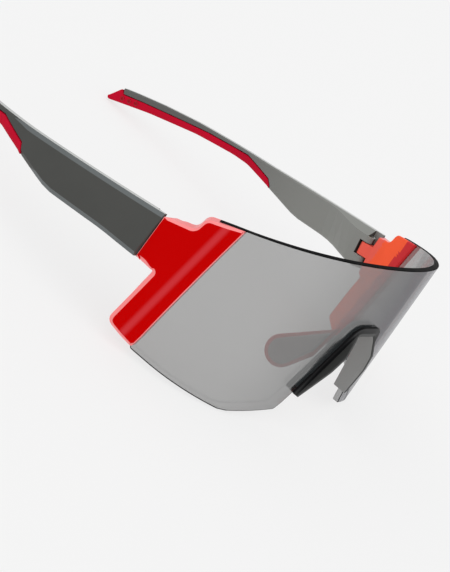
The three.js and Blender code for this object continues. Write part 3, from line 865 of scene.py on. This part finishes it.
def grip_rings(side):
    """Three small raised rings on the inner side of the ear tip."""
    size, bead, curl = 0.7, 0.18, 0.4
    round_bead = [2 * math.pi * k / 8 for k in range(8)]
    for n, y in enumerate((160.3, 163, 165.7)):
        section = grip_ring(y)
        x = min(q[0] for q in section) - 0.02
        z = (section[0][2] + section[8][2]) / 2 + 0.2
        rings = []
        for i in range(28):
            a = 2 * math.pi * i / 28
            rings.append([(x - bead * math.sin(b),
                           y + (size + bead * math.cos(b)) * math.cos(a) - curl * bead * math.sin(b),
                           z + (size + bead * math.cos(b)) * math.sin(a)) for b in round_bead])
        rings.append(rings[0])
        points, faces = skin(rings, closed_ends=False)
        piece(f"{side}_grip_ring_{n + 1}", sided(points, side), faces, [GRIP_DARK], f"{side}_arm",
              sharp=60)


# ---- nose bracket ----

ARCH_HALF, ARCH_TOP, ARCH_SLOPE, ARCH_FOOT = 6.3, 22.9, 0.375, 48.8
LIP_EDGE = [(0, -1), (23.5, -1), (31, -3.3), (37, -3.1), (49.5, -1.05), (60, -1)]


def arch_path():
    """Points along the cut-out's edge from one foot over the top to the other, with outward directions."""
    foot = ARCH_HALF + ARCH_SLOPE * (ARCH_FOOT - ARCH_TOP)
    corners = [(-foot, ARCH_FOOT, 0), (-ARCH_HALF, ARCH_TOP, 3), (ARCH_HALF, ARCH_TOP, 3),
               (foot, ARCH_FOOT, 0)]
    path = rounded(corners, 8)
    points = []
    for a, b in zip(path, path[1:]):
        count = max(1, round((b - a).length / 0.9))
        points += [a.lerp(b, k / count) for k in range(count)]
    points.append(path[-1])
    result = []
    for i, here in enumerate(points):
        way = (points[min(i + 1, len(points) - 1)] - points[max(i - 1, 0)]).normalized()
        result.append((here, Vector((way.y, -way.x))))
    return result


def make_bracket():
    rings = []
    for here, outwards in arch_path():
        lip = along(LIP_EDGE, here.y) if abs(here.x) > ARCH_HALF - 1 else -1
        end = min(1, (ARCH_FOOT - here.y) / 1.2)
        trim = 0.5 * (1 - math.sqrt(max(0, 1 - (1 - end) ** 2))) if end < 1 else 0
        section = [
            (1.2 - trim, -0.3), (1.2 - trim, -0.85), (1.05 - trim, -1.0),  # front rim
            (-1.02, -1.0), (-1.1, min(-1.02, lip + 0.15)), (-1.25, lip - 0.02),  # lip
            (-2.1, lip - 0.02), (-2.28, min(-1.0, lip + 0.2)), (-2.4, -0.8),
            (-2.4, 3.05), (-2.2, 3.3), (-0.2, 3.3),  # back
            (1.0 - trim, 3.1), (1.2 - trim, 2.9), (1.2 - trim, 2.3),  # rear rim
            (-0.3, 2.3), (-0.3, -0.3)]  # groove that the lens stands in
        ring = []
        for offset, depth in section:
            spot = here + outwards * offset * 0.96
            ring.append(on_lens(spot.x, spot.y, depth))
        rings.append(ring)
    points, faces = skin(rings)
    count = len(rings[0])
    zone_of = [0, 0, 0, 1, 1, 1, 1, 2, 2, 2, 3, 3, 3, 3, 3, 3, 0]
    zones = [zone_of[f % count] for f in range(len(faces) - 2)] + [1, 1]
    zone_materials = [BLACK_SATIN, BRACKET_FACE, BRACKET_INSIDE, BRACKET_BACK]
    piece("nose_bridge", points, faces, zone_materials, "front",
          ["nose_bracket"], sharp=35, face_material=zones)


# ---- stage ----

def set_camera():
    data = bpy.data.cameras.new("camera")
    camera = bpy.data.objects.new("camera", data)
    bpy.context.scene.collection.objects.link(camera)
    camera.location = (-0.40722, -0.22747, 0.19239)
    camera.rotation_euler = [math.radians(a) for a in (62.227, -36.463, -47.148)]
    data.sensor_width = 36
    data.lens = 92.41
    data.clip_start = 0.01
    bpy.context.scene.camera = camera


def set_world():
    """An even white room, a little darker on the +X side."""
    world = bpy.data.worlds.new("studio")
    bpy.context.scene.world = world
    world.use_nodes = True
    tree = world.node_tree
    coords = tree.nodes.new("ShaderNodeTexCoord")
    split = tree.nodes.new("ShaderNodeSeparateXYZ")
    tree.links.new(coords.outputs["Generated"], split.inputs["Vector"])
    strength = eased_range(tree, split.outputs["X"], -0.3, 1.0, 0.92, 0.5)
    background = tree.nodes["Background"]
    background.inputs["Color"].default_value = (1, 1, 1, 1)
    tree.links.new(strength, background.inputs["Strength"])


def set_stage():
    mesh = bpy.data.meshes.new("floor")
    r = 12
    mesh.from_pydata([(-r, -r, 0), (r, -r, 0), (r, r, 0), (-r, r, 0)], [], [(0, 1, 2, 3)])
    floor = bpy.data.objects.new("floor", mesh)
    floor.location.z = -0.0002
    bpy.context.scene.collection.objects.link(floor)
    material, tree, shader = node_material("pale_floor", (0.22, 0.22, 0.22), 0.95, specular=0.0)
    shader.inputs["Emission Color"].default_value = (1, 1, 1, 1)
    shader.inputs["Emission Strength"].default_value = 0.68
    grain(tree, shader, noise(tree, 40, 2), 1e-5, 0.1)
    mesh.materials.append(material)


def light_studio():
    """A broad soft light from above, which leaves out the lens so that its disc doesn't show in it."""
    data = bpy.data.lights.new("overhead", "SUN")
    data.energy = 0.9
    data.angle = math.radians(80)
    light = bpy.data.objects.new("overhead", data)
    light.rotation_euler = Vector((0.35, 0.45, -1)).to_track_quat("-Z", "Y").to_euler()
    bpy.context.scene.collection.objects.link(light)
    lit = bpy.data.collections.new("lit_by_overhead")
    lit.objects.link(bpy.data.objects["lens_shield"])
    lit.collection_objects[0].light_linking.link_state = "EXCLUDE"
    light.light_linking.receiver_collection = lit


make_lens()
make_bracket()
for side in ("left", "right"):
    make_end_piece(side)
    make_temple(side)
    make_grip(side)
    grip_rings(side)
    make_pads(side)
    dress(f"{side}_lens_peg_upper", RED_PART)
    dress(f"{side}_lens_peg_lower", RED_PART)
    dress(f"{side}_hinge_screw", STEEL, 0.05)
    dress(f"{side}_hinge_insert", BRASS, 0.05)
set_camera()
set_world()
set_stage()
light_studio()
bpy.context.scene.view_settings.view_transform = "Standard"
